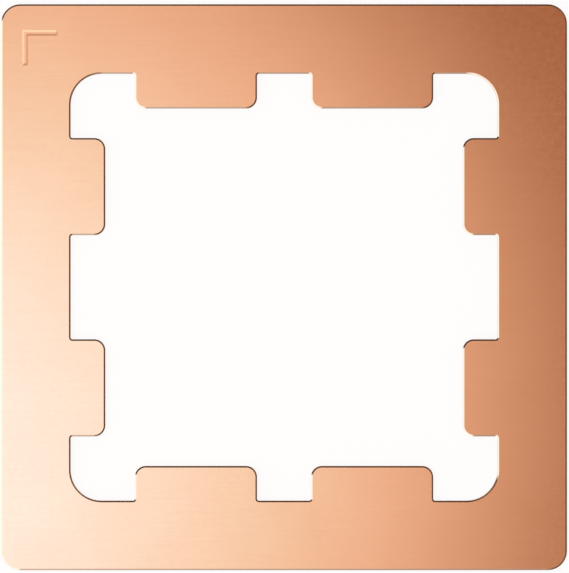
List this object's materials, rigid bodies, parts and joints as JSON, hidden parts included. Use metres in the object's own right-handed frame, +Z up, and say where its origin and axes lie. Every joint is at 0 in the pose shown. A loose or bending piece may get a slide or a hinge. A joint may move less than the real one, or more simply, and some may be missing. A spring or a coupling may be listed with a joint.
{
  "type": "thermal paste guard",
  "caption": "Flat square copper frame with a notched window that fits round a processor's heat spreader and keeps thermal paste out of its gaps.",
  "frame": {"origin": "middle of the underside", "axes": "+Z up, out of the face with the raised corner mark; +Y towards the edge beside the mark, which is in the -X +Y corner"},
  "size_m": [0.044, 0.044, 0.0011],
  "materials": {
    "copper": "satin copper"
  },
  "bodies": {
    "root": {"guard_frame": "copper"}
  },
  "joints": []
}
